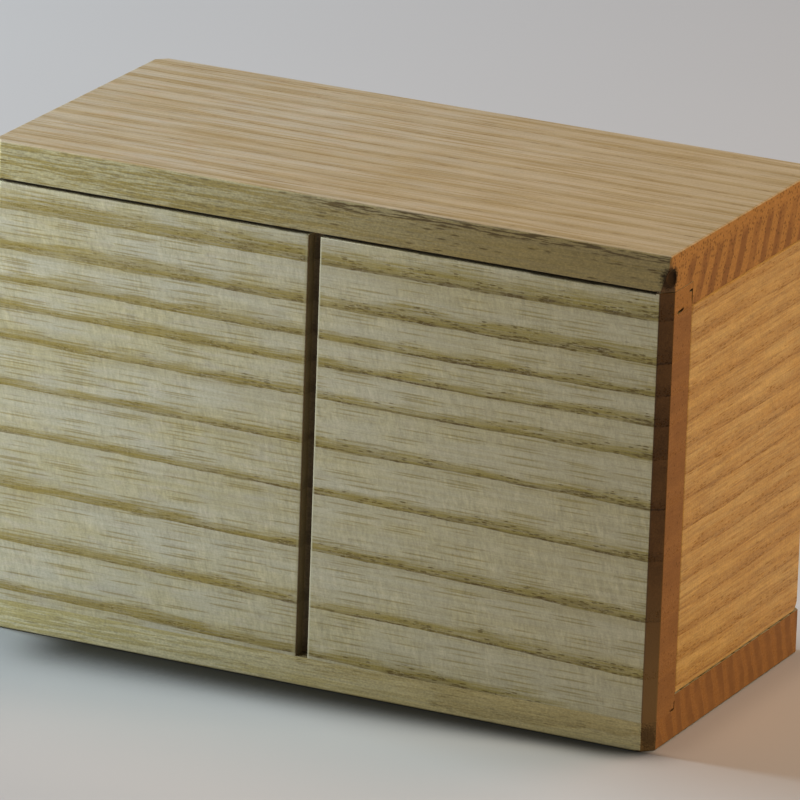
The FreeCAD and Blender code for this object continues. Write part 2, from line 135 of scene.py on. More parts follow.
def placeCamera(given):
    data = bpy.data.cameras.new("boxCamera")
    data.lens = given["lens"]
    data.sensor_width = given["sensor"]
    data.clip_start, data.clip_end = given["clip"]
    camera = bpy.data.objects.new("boxCamera", data)
    bpy.context.scene.collection.objects.link(camera)
    back = -Vector(given["forward"]).normalized()
    right = Vector(given["right"]).normalized()
    up = back.cross(right)
    turned = Matrix((right, up, back)).transposed().to_4x4()
    camera.matrix_world = Matrix.Translation(Vector(given["place"])) @ turned
    bpy.context.scene.camera = camera


placeCamera(cameraView)
print("camera placed")


# Ash wood. Every board is cut from its own place in a trunk: growth rings across, pores and fibres along
# the grain. Sizes of the pattern are in mm: along the grain, across it, and upright.

ash = {
    "slowWave": (70.0, 22.0, 22.0),
    "quickWave": (16.0, 5.0, 5.0),
    "raggedEdge": (6.0, 0.5, 0.5),
    "fray": (8.0, 0.42, 0.42),
    "patch": (15.0, 4.0, 4.0),
    "threads": (5.0, 0.3, 0.3),
    "clusters": (5.0, 1.2, 1.2),
    "poreCell": (1.3, 0.25, 0.25),
    "dashCell": (3.6, 0.36, 0.36),
    "edgePoreCell": (2.6, 0.4, 0.4),
    "endPoreCell": (1.1, 0.6, 0.6),
    "streak": (38.0, 0.75, 0.75),
    "fibre": (12.0, 0.22, 0.22),
    "shimmer": (0.42, 1.5, 1.5),
    "broadShimmer": (1.3, 3.2, 3.2),
    "grit": (0.42, 0.26, 0.26),
    "tone": (30.0, 7.0, 7.0),
    "blotch": (8.0, 3.0, 3.0),
    "stripeGaps": (6.0, 3.2, 9.0),
    "sawMarks": (4.0, 3.0, 0.3),
    "lean": 0.21,            # the shimmer leans this much off upright
    "sawLean": 0.5,          # and the saw marks on end grain this much
    "bumpDepth": 0.00008,    # metres
    "wearAndHighlightReach": 0.00035,    # metres
    "gloss": 0.28,
    "endGloss": 0.12,
    "ior": 1.48,
}

# Where a mask starts and where it is full, then its two values where they aren't 0 and 1. Places are in mm,
# the rest are shares, levels of noise or parts of a normal.

masks = {
    "bandFoot": (0.0, 0.14),
    "edgeFoot": (0.0, 0.12),
    "threads": (0.42, 0.6, 0.15, 1.0),
    "crowded": (0.46, 0.6),
    "crowdedEnd": (52.0, 58.0),
    "leftToMiddle": (-50.0, 30.0),
    "leftToRight": (-40.0, 50.0),
    "edgePores": (0.42, 0.6, 0.05, 0.55),
    "streak": (0.46, 0.6),
    "tone": (0.3, 0.7),
    "rosy": (0.5, 0.68, 0.0, 0.5),
    "lateWood": (0.75, 1.0),
    "ochre": (0.35, 0.6),
    "shimmerPatch": (0.35, 0.6, 0.55, 1.15),
    "shimmerInBand": (0.0, 1.0, 1.0, 0.6),
    "glint": (0.6, 0.78),
    "endFace": (0.55, 0.95),
    "stripeEnd": (0.93, 1.0, 1.0, 0.25),
    "stripeGaps": (0.36, 0.54, 0.5, 1.0),
    "stripeGrit": (0.3, 0.6, 0.75, 1.0),
    "endPoreRise": (76.5, 80.5),
    "wearAndHighlightArris": (0.97, 0.86),
    "wearAndHighlightPatch": (0.35, 0.6, 0.3, 1.0),
    "facingFront": (0.35, 0.9),
    "facingUp": (0.6, 0.9),
    "swirl": (0.4, 0.6),
    "edgeToRight": (-50.0, 45.0),
    "edgePoresToRight": (-45.0, 20.0, 0.3),
    "dashRow": (0.47, 0.54),
    "sloping": (0.97, 0.9),
    "underTop": (79.0, 78.0),
    "planed": (0.84, 0.93),
    "rightEnd": (57.0, 57.6),
    "spot": (1.15, 0.6, 0.0),
    "dullGloss": (0.0, 1.0, 1.0, 0.1),
    "notEnd": (0.0, 1.0, 1.0, 0.0),
}


def grainAxes(tree, grain):
    # x, y and z in mm, put in the order along, across, upright
    point = addNode(tree, "ShaderNodeTexCoord").outputs["Object"]
    split = addNode(tree, "ShaderNodeSeparateXYZ", {0: point})
    x, y, z = (times(tree, out, 1000.0) for out in split.outputs)
    return {"x": (x, y, z), "y": (y, x, z), "z": (z, x, y)}[grain], (x, y, z)


def ringDistance(tree, axes, pith):
    # how far a point is from the middle of the trunk, in mm
    along, across, upright = axes
    sideways = maths(tree, "SUBTRACT", across, pith[0])
    height = maths(tree, "SUBTRACT", upright, pith[1])
    squares = plus(tree, times(tree, sideways, sideways), times(tree, height, height))
    return maths(tree, "SQRT", squares)


def bandIndex(tree, x, z, wander, bands):
    # counts the growth rings up the front panel, which fan out a little towards the left and the bottom
    low = maths(tree, "MAXIMUM", maths(tree, "SUBTRACT", bands["level"], z), 0.0)
    tilted = plus(tree, z, times(tree, times(tree, low, x), bands["fan"]))
    height = times(tree, plus(tree, tilted, wander), 1.0 / bands["top"])
    curve = addNode(tree, "ShaderNodeFloatCurve", {"Value": height})
    points = curve.mapping.curves[0].points
    count = len(bands["heights"]) + 1
    for index, level in enumerate(bands["heights"]):
        points.new(level / bands["top"], (index + 1) / count)
    for point in points:
        point.handle_type = "VECTOR"
    curve.mapping.update()
    return times(tree, curve.outputs[0], float(count)), rise(tree, z, *bands["widthChange"])


def growthRings(tree, axes, point, board):
    # how far a point is inside its ring: as a share of the ring, and in mm
    shift = board["shift"]
    slow = noiseIn(tree, stretched(tree, axes, ash["slowWave"], shift))
    quick = noiseIn(tree, stretched(tree, axes, ash["quickWave"], shift + 3.1))
    ragged = noiseIn(tree, stretched(tree, axes, ash["raggedEdge"], shift + 7.7), 3.0, 0.6)
    wander = plus(tree, centred(tree, slow, board["wander"]), centred(tree, quick, board["wander"] * 0.3))
    wander = plus(tree, wander, centred(tree, ragged, board["ragged"]))
    if "bands" in board:
        rings, width = bandIndex(tree, point[0], point[2], wander, board["bands"])
    else:
        width = board["ringWidth"]
        rings = times(tree, plus(tree, ringDistance(tree, axes, board["pith"]), wander), 1.0 / width)
    share = maths(tree, "FRACT", rings)
    return share, times(tree, share, width)


def cellsIn(tree, axes, cell, shift):
    # long cells, seen as dashes along the grain and as dots on end grain: the distance from the middle of
    # the nearest one, and a number for each of them
    place = stretched(tree, axes, cell, shift)
    cells = addNode(tree, "ShaderNodeTexVoronoi", {"Vector": place, "Scale": 1.0, "Randomness": 1.0})
    chance = addNode(tree, "ShaderNodeSeparateColor", {0: cells.outputs["Color"]}).outputs[0]
    return cells.outputs["Distance"], chance


def chosen(tree, cells, wanted, inner, outer):
    # the middles of those cells whose number is below what is wanted
    distance, chance = cells
    return times(tree, rise(tree, distance, inner, outer, 1.0, 0.0),
                 rise(tree, maths(tree, "SUBTRACT", wanted, chance), -0.02, 0.06))


def greyOf(tree, value):
    made = addNode(tree, "ShaderNodeCombineColor")
    for socket in made.inputs[:3]:
        giveInput(tree, socket, value)
    return made.outputs[0]


def shaded(tree, colour, change):
    return blendColours(tree, 1.0, colour, greyOf(tree, plus(tree, change, 1.0)), "MULTIPLY")


def earlyWood(tree, axes, point, board):
    # early wood starts at a sharp dark edge, is full of pores, and frays into the pale late wood
    shift = board["shift"]
    deep = board["bandDepth"]
    share, depth = growthRings(tree, axes, point, board)
    patchy = noiseIn(tree, stretched(tree, axes, ash["patch"], shift + 5.5))
    fray = noiseIn(tree, stretched(tree, axes, ash["fray"], shift + 8.3), 4.0, 0.65)
    frayed = plus(tree, depth, centred(tree, fray, board["fray"]))
    frayed = plus(tree, frayed, centred(tree, patchy, board["fray"] * 0.8))
    foot = rise(tree, depth, *masks["bandFoot"])
    early = times(tree, rise(tree, frayed, deep * 0.4, deep * 1.1, 1.0, 0.0), foot)
    core = times(tree, rise(tree, frayed, deep * 0.15, deep * 0.55, 1.0, 0.0), foot)
    threads = noiseIn(tree, stretched(tree, axes, ash["threads"], shift + 14.6), 2.0, 0.6)
    core = times(tree, core, rise(tree, threads, *masks["threads"]))
    edge = rise(tree, depth, board["edgeDepth"] * 0.5, board["edgeDepth"], 1.0, 0.0)
    edge = times(tree, edge, rise(tree, depth, *masks["edgeFoot"]))
    edge = times(tree, edge, rise(tree, patchy, 0.4, 0.58, board["edgeLeast"], 1.0))
    clusters = noiseIn(tree, stretched(tree, axes, ash["clusters"], shift + 12.1))
    crowded = maths(tree, "MAXIMUM", rise(tree, clusters, *masks["crowded"]),
                    rise(tree, point[0], *masks["crowdedEnd"]))
    return {
        "share": share, "patchy": patchy, "early": early, "core": core, "threads": threads, "edge": edge,
        "clusters": clusters, "crowded": crowded,
        "gain": rise(tree, point[0], *masks["leftToMiddle"], board["leftGain"], 1.0),
        "nearBand": rise(tree, depth, deep * 2.2, deep, 0.0, 1.0),
    }


def poresAndLines(tree, axes, board, wood):
    # pores in and beside the bands, thin ochre lines and long soft streaks
    shift = board["shift"]
    wanted = plus(tree, times(tree, wood["early"], 0.3), times(tree, wood["core"], 0.8))
    wanted = times(tree, wanted, times(tree, plus(tree, wood["crowded"], 0.35), board["poreSpread"]))
    inPore = chosen(tree, cellsIn(tree, axes, ash["poreCell"], shift), wanted, 0.28, 0.6)
    wanted = plus(tree, times(tree, wood["edge"], board["dashSpread"]), board["strayPores"])
    inDash = chosen(tree, cellsIn(tree, axes, ash["dashCell"], shift + 2.2), wanted, 0.2, 0.48)
    wanted = plus(tree, times(tree, wood["nearBand"], 0.2), board["lineSpread"])
    inLine = chosen(tree, cellsIn(tree, axes, board["lineCell"], shift + 1.3), wanted, 0.26, 0.54)
    wanted = rise(tree, wood["patchy"], *masks["edgePores"])
    edgePores = chosen(tree, cellsIn(tree, axes, ash["edgePoreCell"], shift + 3.7), wanted, 0.2, 0.5)
    dark = maths(tree, "MAXIMUM", times(tree, inPore, board["poreStrength"]),
                 times(tree, inDash, board["dashStrength"]))
    return {
        "dark": dark, "lines": inLine, "edgePores": edgePores,
        "streaks": noiseIn(tree, stretched(tree, axes, ash["streak"], shift + 6.1), 2.0, 0.6),
    }


def fibresAndTone(tree, axes, board):
    # fibres, shimmer across them, grit and slow changes of tone
    shift = board["shift"]
    slanted = (plus(tree, axes[0], times(tree, axes[2], ash["lean"])), axes[1], axes[2])
    return {
        "fibres": noiseIn(tree, stretched(tree, axes, ash["fibre"], shift), 3.0, 0.6),
        "shimmer": noiseIn(tree, stretched(tree, slanted, ash["shimmer"], shift), 3.0, 0.65, 0.4),
        "broad": noiseIn(tree, stretched(tree, slanted, ash["broadShimmer"], shift + 2.9), 1.0),
        "grit": noiseIn(tree, stretched(tree, axes, ash["grit"], shift), 1.0),
        "tone": noiseIn(tree, stretched(tree, axes, ash["tone"], shift + 9.0), 3.0),
        "blotch": noiseIn(tree, stretched(tree, axes, ash["blotch"], shift + 4.0), 3.0),
    }


def paleWood(tree, point, board, wood):
    # late wood with its slow changes of tone, its streaks and its thin lines, and painted shade that turns
    # it darker and warmer towards the right, where the cool light falls off
    tone = plus(tree, wood["tone"], centred(tree, wood["blotch"], 0.15))
    colour = blendColours(tree, rise(tree, tone, *masks["tone"]), board["pale"], board["paleWarm"])
    colour = blendColours(tree, rise(tree, wood["clusters"], *masks["rosy"]), colour, board["rosy"])
    # painted shade: darker and warmer towards the right
    toRight = rise(tree, point[0], *masks["leftToRight"], 0.0, board["rightShade"])
    colour = blendColours(tree, toRight, colour, board["paleInRightShade"])
    late = times(tree, rise(tree, wood["share"], *masks["lateWood"]), 0.15)
    colour = blendColours(tree, late, colour, board["band"])
    streak = times(tree, rise(tree, wood["streaks"], *masks["streak"]), board["streakStrength"])
    colour = blendColours(tree, streak, colour, board["band"])
    return blendColours(tree, times(tree, wood["lines"], board["lineStrength"]), colour, board["line"])


def longGrain(tree, point, board, wood):
    # the whole colour of the wood where it is cut along its grain
    full = board["bandStrength"]
    ochre = times(tree, wood["early"], rise(tree, wood["fibres"], *masks["ochre"], full * 0.55, full))
    colour = blendColours(tree, ochre, paleWood(tree, point, board, wood), board["band"])
    coreDark = times(tree, plus(tree, times(tree, wood["crowded"], 0.6), 0.4), board["coreStrength"])
    coreDark = times(tree, wood["core"], coreDark)
    colour = blendColours(tree, times(tree, coreDark, wood["gain"]), colour, board["core"])

    shade = plus(tree, centred(tree, wood["shimmer"], board["shimmer"]),
                 centred(tree, wood["broad"], board["shimmer"] * 0.5))
    shade = times(tree, shade, rise(tree, wood["blotch"], *masks["shimmerPatch"]))
    shade = times(tree, shade, rise(tree, wood["early"], *masks["shimmerInBand"]))
    fine = plus(tree, centred(tree, wood["fibres"], board["fibreStrength"]),
                centred(tree, wood["grit"], board["gritStrength"]))
    shade = plus(tree, shade, fine)
    colour = shaded(tree, colour, plus(tree, shade, centred(tree, wood["blotch"], 0.04)))

    edgeDark = times(tree, plus(tree, times(tree, wood["crowded"], 0.5), 0.6), board["edgeStrength"])
    edgeDark = times(tree, wood["edge"], edgeDark)
    colour = blendColours(tree, times(tree, edgeDark, wood["gain"]), colour, board["pore"])
    colour = blendColours(tree, times(tree, wood["dark"], wood["gain"]), colour, board["pore"])
    # painted glints: bright specks in the early wood, in the same pale colour as the worn and highlit
    # arrises
    paintedHighlight = rise(tree, times(tree, wood["grit"], plus(tree, wood["clusters"], 0.5)), *masks["glint"])
    glint = times(tree, times(tree, wood["early"], paintedHighlight), board["glint"])
    return blendColours(tree, glint, colour, board["wearAndHighlight"])


def endGrain(tree, axes, point, board, wood):
    # end grain drinks more oil, shows the rings as strong stripes and the pores as dots
    shift = board["shift"]
    stripe = times(tree, rise(tree, wood["share"], *board["stripeShare"]),
                   rise(tree, wood["share"], *masks["stripeEnd"]))
    uneven = noiseIn(tree, stretched(tree, axes, ash["stripeGaps"], shift + 21.0))
    stripe = times(tree, stripe, rise(tree, uneven, *masks["stripeGaps"]))
    stripe = times(tree, stripe, rise(tree, wood["grit"], *masks["stripeGrit"]))
    stripe = plus(tree, times(tree, stripe, board["stripeStrength"]), centred(tree, wood["blotch"], 0.1))
    if "stripeFront" in board:
        place = plus(tree, point[1], centred(tree, wood["blotch"], 1.0))
        stripe = times(tree, stripe, rise(tree, place, *board["stripeFront"]))
    if "stripeFade" in board:
        place = plus(tree, point[2], centred(tree, wood["blotch"], 0.5))
        stripe = times(tree, stripe, rise(tree, place, *board["stripeFade"]))
    colour = blendColours(tree, stripe, board["endPale"], board["endDark"])
    if "endTop" in board:
        colour = blendColours(tree, rise(tree, point[2], *board["endTopLevel"]), colour, board["endTop"])
    leaning = (axes[0], plus(tree, axes[1], times(tree, axes[2], ash["sawLean"])), axes[2])
    sawMarks = noiseIn(tree, stretched(tree, leaning, ash["sawMarks"], shift))
    rubbed = plus(tree, centred(tree, wood["grit"], 0.16), centred(tree, sawMarks, 0.08))
    colour = shaded(tree, colour, rubbed)
    level = plus(tree, point[2], centred(tree, wood["blotch"], 1.5))
    wanted = rise(tree, level, *masks["endPoreRise"], board["dotSpread"] * 0.5, board["dotSpread"])
    dots = chosen(tree, cellsIn(tree, axes, ash["endPoreCell"], shift), wanted, 0.2, 0.48)
    return blendColours(tree, times(tree, dots, 0.7), colour, board["endPore"])


def wearAndHighlightArrises(tree, endFace, wood):
    # handled edges are a little paler and smoother, and the same paleness is a painted highlight along the
    # arrises
    soft = addNode(tree, "ShaderNodeBevel", {"Radius": ash["wearAndHighlightReach"]}, samples=6)
    flat = addNode(tree, "ShaderNodeNewGeometry").outputs["Normal"]
    along = addNode(tree, "ShaderNodeVectorMath", {0: soft.outputs[0], 1: flat}, operation="DOT_PRODUCT")
    wearAndHighlight = rise(tree, along.outputs["Value"], *masks["wearAndHighlightArris"])
    wearAndHighlight = times(tree, wearAndHighlight, rise(tree, wood["blotch"], *masks["wearAndHighlightPatch"]))
    return times(tree, wearAndHighlight, rise(tree, endFace, *masks["notEnd"]))


def woodRelief(tree, wood):
    height = plus(tree, times(tree, wood["dark"], -1.0), times(tree, wood["fibres"], 0.4))
    bands = plus(tree, times(tree, wood["early"], -0.25), times(tree, wood["grit"], 0.3))
    height = plus(tree, height, bands)
    height = plus(tree, height, times(tree, wood["shimmer"], 0.2))
    given = {"Strength": 0.6, "Distance": ash["bumpDepth"], "Height": height}
    return addNode(tree, "ShaderNodeBump", given)


def makeAsh(name, board):
    made = bpy.data.materials.new(name)
    made.use_nodes = True
    tree = made.node_tree
    shader = tree.nodes["Principled BSDF"]
    axes, point = grainAxes(tree, board["grain"])
    wood = earlyWood(tree, axes, point, board)
    wood.update(poresAndLines(tree, axes, board, wood))
    wood.update(fibresAndTone(tree, axes, board))

    normal = addNode(tree, "ShaderNodeTexCoord").outputs["Normal"]
    normalParts = addNode(tree, "ShaderNodeSeparateXYZ", {0: normal}).outputs
    facing = maths(tree, "ABSOLUTE", normalParts["XYZ".index(board["grain"].upper())])
    endFace = rise(tree, facing, *masks["endFace"])
    colour = blendColours(tree, endFace, longGrain(tree, point, board, wood),
                          endGrain(tree, axes, point, board, wood))
    wearAndHighlight = wearAndHighlightArrises(tree, endFace, wood)
    # wear and painted highlight: the arrises turn paler
    colour = blendColours(tree, times(tree, wearAndHighlight, 0.25), colour, board["wearAndHighlight"])
    colour, dull = addMarks(tree, colour, board.get("marks", {}), point, normalParts, wood)
    tree.links.new(colour, shader.inputs["Base Color"])

    rough = plus(tree, times(tree, wood["dark"], 0.25), centred(tree, wood["fibres"], 0.06))
    rough = plus(tree, rough, times(tree, wearAndHighlight, -0.08))
    rough = plus(tree, rough, times(tree, endFace, 0.2))
    tree.links.new(plus(tree, rough, board["roughness"]), shader.inputs["Roughness"])
    dull = maths(tree, "MAXIMUM", dull, wood["dark"])
    gloss = rise(tree, endFace, 0.0, 1.0, ash["gloss"], ash["endGloss"])
    gloss = times(tree, gloss, rise(tree, dull, *masks["dullGloss"]))
    tree.links.new(gloss, shader.inputs["Specular IOR Level"])
    tree.links.new(woodRelief(tree, wood).outputs[0], shader.inputs["Normal"])
    shader.inputs["IOR"].default_value = ash["ior"]
    return made


def distanceFrom(tree, point, place, spread):
    total = 0.0
    for axis, middle, scale in zip(point, place, spread):
        part = times(tree, maths(tree, "SUBTRACT", axis, middle), 1.0 / scale)
        total = plus(tree, total, times(tree, part, part))
    return maths(tree, "SQRT", total)


def markEdgeFace(tree, colour, face, point, normalParts, wood):
    # the long narrow edge is cut along the rings, so it shows early wood nearly everywhere
    turned = rise(tree, maths(tree, "MULTIPLY", normalParts[1], -1.0), *masks["facingFront"])
    swirl = rise(tree, plus(tree, wood["threads"], centred(tree, wood["streaks"], 0.3)), *masks["swirl"])
    deeper = blendColours(tree, swirl, face["light"], face["deep"])
    # painted shade: the edge turns darker towards the right, where the light falls off
    deeper = blendColours(tree, rise(tree, point[0], *masks["edgeToRight"]), deeper, face["right"])
    change = plus(tree, centred(tree, wood["grit"], 0.2), centred(tree, wood["fibres"], 0.2))
    deeper = shaded(tree, deeper, plus(tree, change, centred(tree, wood["streaks"], 0.1)))
    strength = rise(tree, point[0], *masks["edgePoresToRight"], face["poreStrength"])
    dark = times(tree, wood["edgePores"], strength)
    if "dashRow" in face:
        row = face["dashRow"]
        level = plus(tree, point[2], centred(tree, wood["blotch"], 0.4))
        lies = times(tree, rise(tree, level, *row["level"]), rise(tree, point[0], *row["start"]))
        lies = times(tree, lies, rise(tree, wood["threads"], *masks["dashRow"]))
        dark = maths(tree, "MAXIMUM", dark, times(tree, lies, row["strength"]))
    deeper = blendColours(tree, dark, deeper, face["pore"])
    colour = blendColours(tree, times(tree, turned, face["strength"]), colour, deeper)
    return colour, times(tree, dark, turned)


def markCornerGrainAndShade(tree, colour, marks, point, normalParts, wood):
    # the planed corner between the front and the right end is end grain, painted darker still as shade,
    # since the light only grazes it
    facing = times(tree, maths(tree, "SUBTRACT", normalParts[0], normalParts[1]), math.sqrt(0.5))
    tilt = maths(tree, "ABSOLUTE", normalParts[2])
    sloping = times(tree, tilt, rise(tree, tilt, *masks["sloping"]))
    facing = plus(tree, facing, times(tree, sloping, rise(tree, point[2], *masks["underTop"])))
    planed = times(tree, rise(tree, facing, *masks["planed"]), rise(tree, point[0], *masks["rightEnd"]))
    banded = plus(tree, times(tree, wood["early"], 0.3), times(tree, wood["edge"], 0.5))
    darker = blendColours(tree, banded, marks["corner"], marks["cornerBand"])
    uneven = plus(tree, centred(tree, wood["blotch"], 0.25), centred(tree, wood["grit"], 0.2))
    darker = shaded(tree, darker, uneven)
    if "cornerTop" in marks:
        top = marks["cornerTop"]
        level = plus(tree, point[2], centred(tree, wood["blotch"], 0.5))
        darker = blendColours(tree, rise(tree, level, *top["level"]), darker, top["colour"])
    return blendColours(tree, planed, colour, darker)


def markSpot(tree, colour, dull, spot, point, wood):
    far = distanceFrom(tree, point, spot["place"], spot["reach"])
    far = plus(tree, far, centred(tree, wood["grit"], spot.get("ragged", 0.3)))
    hidden = rise(tree, far, *masks["spot"], spot["strength"])
    return blendColours(tree, hidden, colour, spot["colour"]), maths(tree, "MAXIMUM", dull, hidden)


def markPaintedGapShade(tree, colour, paintedGapShade, point, normalParts):
    # painted shade: the top of the panel is darkened where the shadow gap above it is open, for the shade
    # inside the gap
    upwards = rise(tree, normalParts[2], *masks["facingUp"])
    between = times(tree, rise(tree, point[1], *paintedGapShade["back"]), rise(tree, point[1], *paintedGapShade["front"]))
    inside = times(tree, times(tree, upwards, between), rise(tree, point[2], *paintedGapShade["above"]))
    return blendColours(tree, times(tree, inside, paintedGapShade["strength"]), colour, paintedGapShade["colour"])


def markKerf(tree, colour, kerf, point, wood):
    # the kerf, partly sawn wood and partly painted shade: its left wall lighter where the warm lamp reaches
    # it, the rest darker as the shade inside it, a darker painted tone on the left arris and a painted
    # highlight line on the right arris
    sideways = maths(tree, "SUBTRACT", point[0], kerf["middle"])
    inside = times(tree, rise(tree, point[1], *kerf["inside"]),
                   rise(tree, maths(tree, "ABSOLUTE", sideways), *kerf["between"]))
    sawnAndShaded = blendColours(tree, rise(tree, sideways, *kerf["wallEnd"]), kerf["wall"], kerf["colour"])
    sawnAndShaded = blendColours(tree, times(tree, wood["early"], 0.35), sawnAndShaded, kerf["band"])
    sawnAndShaded = shaded(tree, sawnAndShaded, centred(tree, wood["grit"], 0.2))
    colour = blendColours(tree, inside, colour, sawnAndShaded)
    left, right = (times(tree, rise(tree, sideways, *start), rise(tree, sideways, *end))
                   for start, end in (kerf["leftArris"], kerf["rightArris"]))
    colour = blendColours(tree, times(tree, left, 0.4), colour, kerf["arris"])
    right = times(tree, right, rise(tree, point[1], *kerf["outside"]))
    return blendColours(tree, times(tree, right, 0.6), colour, kerf["paintedHighlight"])


def addMarks(tree, colour, marks, point, normalParts, wood):
    # gives the new colour, and where the marks are dull
    dull = 0.0
    if "edgeFace" in marks:
        colour, dull = markEdgeFace(tree, colour, marks["edgeFace"], point, normalParts, wood)
    if "corner" in marks:
        colour = markCornerGrainAndShade(tree, colour, marks, point, normalParts, wood)
    for spot in marks.get("spots", []):
        colour, dull = markSpot(tree, colour, dull, spot, point, wood)
    if "paintedGapShade" in marks:
        colour = markPaintedGapShade(tree, colour, marks["paintedGapShade"], point, normalParts)
    if "kerf" in marks:
        colour = markKerf(tree, colour, marks["kerf"], point, wood)
    return colour, dull


# Each board: how its grain lies, its colours and its marks

plainBoard = {
    "grain": "x", "shift": 0.0, "wander": 1.0, "ragged": 0.12, "pith": (-40.0, -160.0), "ringWidth": 4.6,
    "leftGain": 1.0, "bandDepth": 2.2, "fray": 0.85, "bandStrength": 0.95,
    "edgeDepth": 0.5, "edgeLeast": 0.1, "edgeStrength": 0.6,
    "core": (0.17, 0.12, 0.04), "coreStrength": 0.85, "rosy": (0.44, 0.385, 0.30),
    "rightShade": 0.0, "paleInRightShade": (0.40, 0.34, 0.23), "poreSpread": 0.6, "poreStrength": 0.75,
    "dashSpread": 0.5, "strayPores": 0.004, "dashStrength": 0.6, "glint": 0.0,
    "lineCell": (10.0, 0.36, 0.36), "lineSpread": 0.42, "lineStrength": 0.6, "streakStrength": 0.15,
    "fibreStrength": 0.09, "shimmer": 0.08, "gritStrength": 0.07,
    "pale": (0.41, 0.385, 0.28), "paleWarm": (0.40, 0.355, 0.22),
    "band": (0.25, 0.19, 0.08), "line": (0.25, 0.19, 0.08),
    "pore": (0.10, 0.062, 0.022), "wearAndHighlight": (0.50, 0.44, 0.31),
    "endPale": (0.27, 0.122, 0.036), "endDark": (0.155, 0.064, 0.023), "endPore": (0.09, 0.036, 0.010),
    "dotSpread": 0.24, "stripeShare": (0.3, 0.55), "stripeStrength": 0.9, "roughness": 0.5,
}

# small voids in the end grain of the front panel, painted near black for the shade inside them: place,
# reach and strength
voidShade = (0.012, 0.006, 0.003)
voids = [
    ((60.0, -21.1, 74.5), (0.6, 0.8, 0.22), 0.95),
    ((60.0, -20.75, 73.4), (0.6, 0.22, 1.2), 0.95),
    ((60.0, -25.0, 72.1), (0.6, 1.3, 0.24), 0.95),
    ((60.0, -20.8, 5.7), (0.6, 0.25, 0.9), 0.9),
    ((60.0, -21.6, 5.15), (0.6, 1.0, 0.22), 0.9),
]

frontBoard = dict(
    plainBoard, shift=11.3, wander=0.32, leftGain=0.3, poreSpread=1.0, core=(0.14, 0.092, 0.03),
    shimmer=0.16, glint=0.2, gritStrength=0.09, rightShade=0.8, paleInRightShade=(0.42, 0.345, 0.21),
    pale=(0.475, 0.435, 0.33), paleWarm=(0.44, 0.385, 0.24),
    band=(0.265, 0.195, 0.045), line=(0.25, 0.185, 0.05),
    endPale=(0.20, 0.088, 0.031), endDark=(0.16, 0.068, 0.025),
    endTop=(0.23, 0.10, 0.030), endTopLevel=(71.6, 72.4), stripeStrength=0.6,
    bands={"heights": [5.2, 13.7, 22.9, 32.6, 40.7, 48.6, 53.9, 58.6, 64.0, 70.9],
           "top": 80.0, "level": 60.0, "fan": 0.00055, "widthChange": (44.0, 52.0, 8.8, 5.4)},
    marks={
        "corner": (0.066, 0.031, 0.011), "cornerBand": (0.022, 0.011, 0.005),
        "cornerTop": {"level": (36.0, 6.0), "colour": (0.135, 0.075, 0.030)},
        # painted shade inside the open shadow gap under the lid
        "paintedGapShade": {"front": (-28.95, -28.45), "back": (-26.0, -27.0), "above": (74.9, 75.1),
                  "strength": 0.85, "colour": (0.035, 0.022, 0.011)},
        # kerf colours: sawn wood with painted shade inside, and a painted highlight on the right arris
        "kerf": {"middle": -1.75, "inside": (-29.1, -28.6), "between": (1.3, 1.12), "wallEnd": (-1.0, -0.4),
                 "leftArris": ((-1.75, -1.35), (-0.9, -1.0)), "rightArris": ((0.9, 1.0), (1.45, 1.25)),
                 "outside": (-28.5, -28.8), "wall": (0.26, 0.19, 0.095), "colour": (0.18, 0.13, 0.07),
                 "band": (0.045, 0.03, 0.017), "arris": (0.36, 0.30, 0.16), "paintedHighlight": (0.52, 0.47, 0.33)},
        "spots": [{"place": place, "reach": reach, "strength": strength, "colour": voidShade}
                  for place, reach, strength in voids],
    })

backBoard = dict(
    plainBoard, shift=47.9, wander=0.8, pith=(10.0, -210.0), ringWidth=6.4, poreSpread=1.0,
    core=(0.14, 0.092, 0.03), shimmer=0.16, glint=0.2, gritStrength=0.09,
    pale=(0.475, 0.435, 0.33), paleWarm=(0.44, 0.385, 0.24),
    band=(0.265, 0.195, 0.045), line=(0.25, 0.185, 0.05),
    endPale=(0.21, 0.088, 0.030), endDark=(0.165, 0.066, 0.023))

lidBoard = dict(
    plainBoard, shift=23.7, wander=0.5, pith=(-205.0, 160.0), bandDepth=1.9, fray=0.7,
    bandStrength=0.5, edgeStrength=0.15, coreStrength=0.3, poreStrength=0.3, poreSpread=0.3,
    dashSpread=0.2, strayPores=0.03, streakStrength=0.3, lineCell=(18.0, 0.6, 0.6), lineSpread=0.55,
    lineStrength=0.55, shimmer=0.03, dotSpread=0.5, rightShade=0.8,
    core=(0.22, 0.14, 0.055), rosy=(0.47, 0.345, 0.24), paleInRightShade=(0.465, 0.35, 0.22),
    pale=(0.48, 0.415, 0.325), paleWarm=(0.465, 0.385, 0.275),
    band=(0.33, 0.225, 0.09), line=(0.31, 0.20, 0.075), pore=(0.12, 0.07, 0.03), wearAndHighlight=(0.47, 0.37, 0.23),
    stripeFade=(80.6, 78.6), stripeFront=(-26.5, -23.0), stripeShare=(0.38, 0.55),
    marks={
        "edgeFace": {"light": (0.38, 0.33, 0.18), "deep": (0.24, 0.18, 0.045),
                     "right": (0.225, 0.155, 0.05), "strength": 0.9,
                     "pore": (0.055, 0.030, 0.010), "poreStrength": 0.75,
                     "dashRow": {"level": (80.3, 80.8), "start": (-8.0, 4.0), "strength": 0.9}},
        "corner": (0.085, 0.045, 0.020), "cornerBand": (0.05, 0.026, 0.012),
        "cornerTop": {"level": (79.0, 80.6), "colour": (0.25, 0.125, 0.042)},
        "spots": [{"place": (59.5, -28.3, 78.2), "reach": (1.8, 1.9, 2.2), "strength": 0.92,
                   "colour": (0.026, 0.015, 0.009), "ragged": 0.14}],
    })

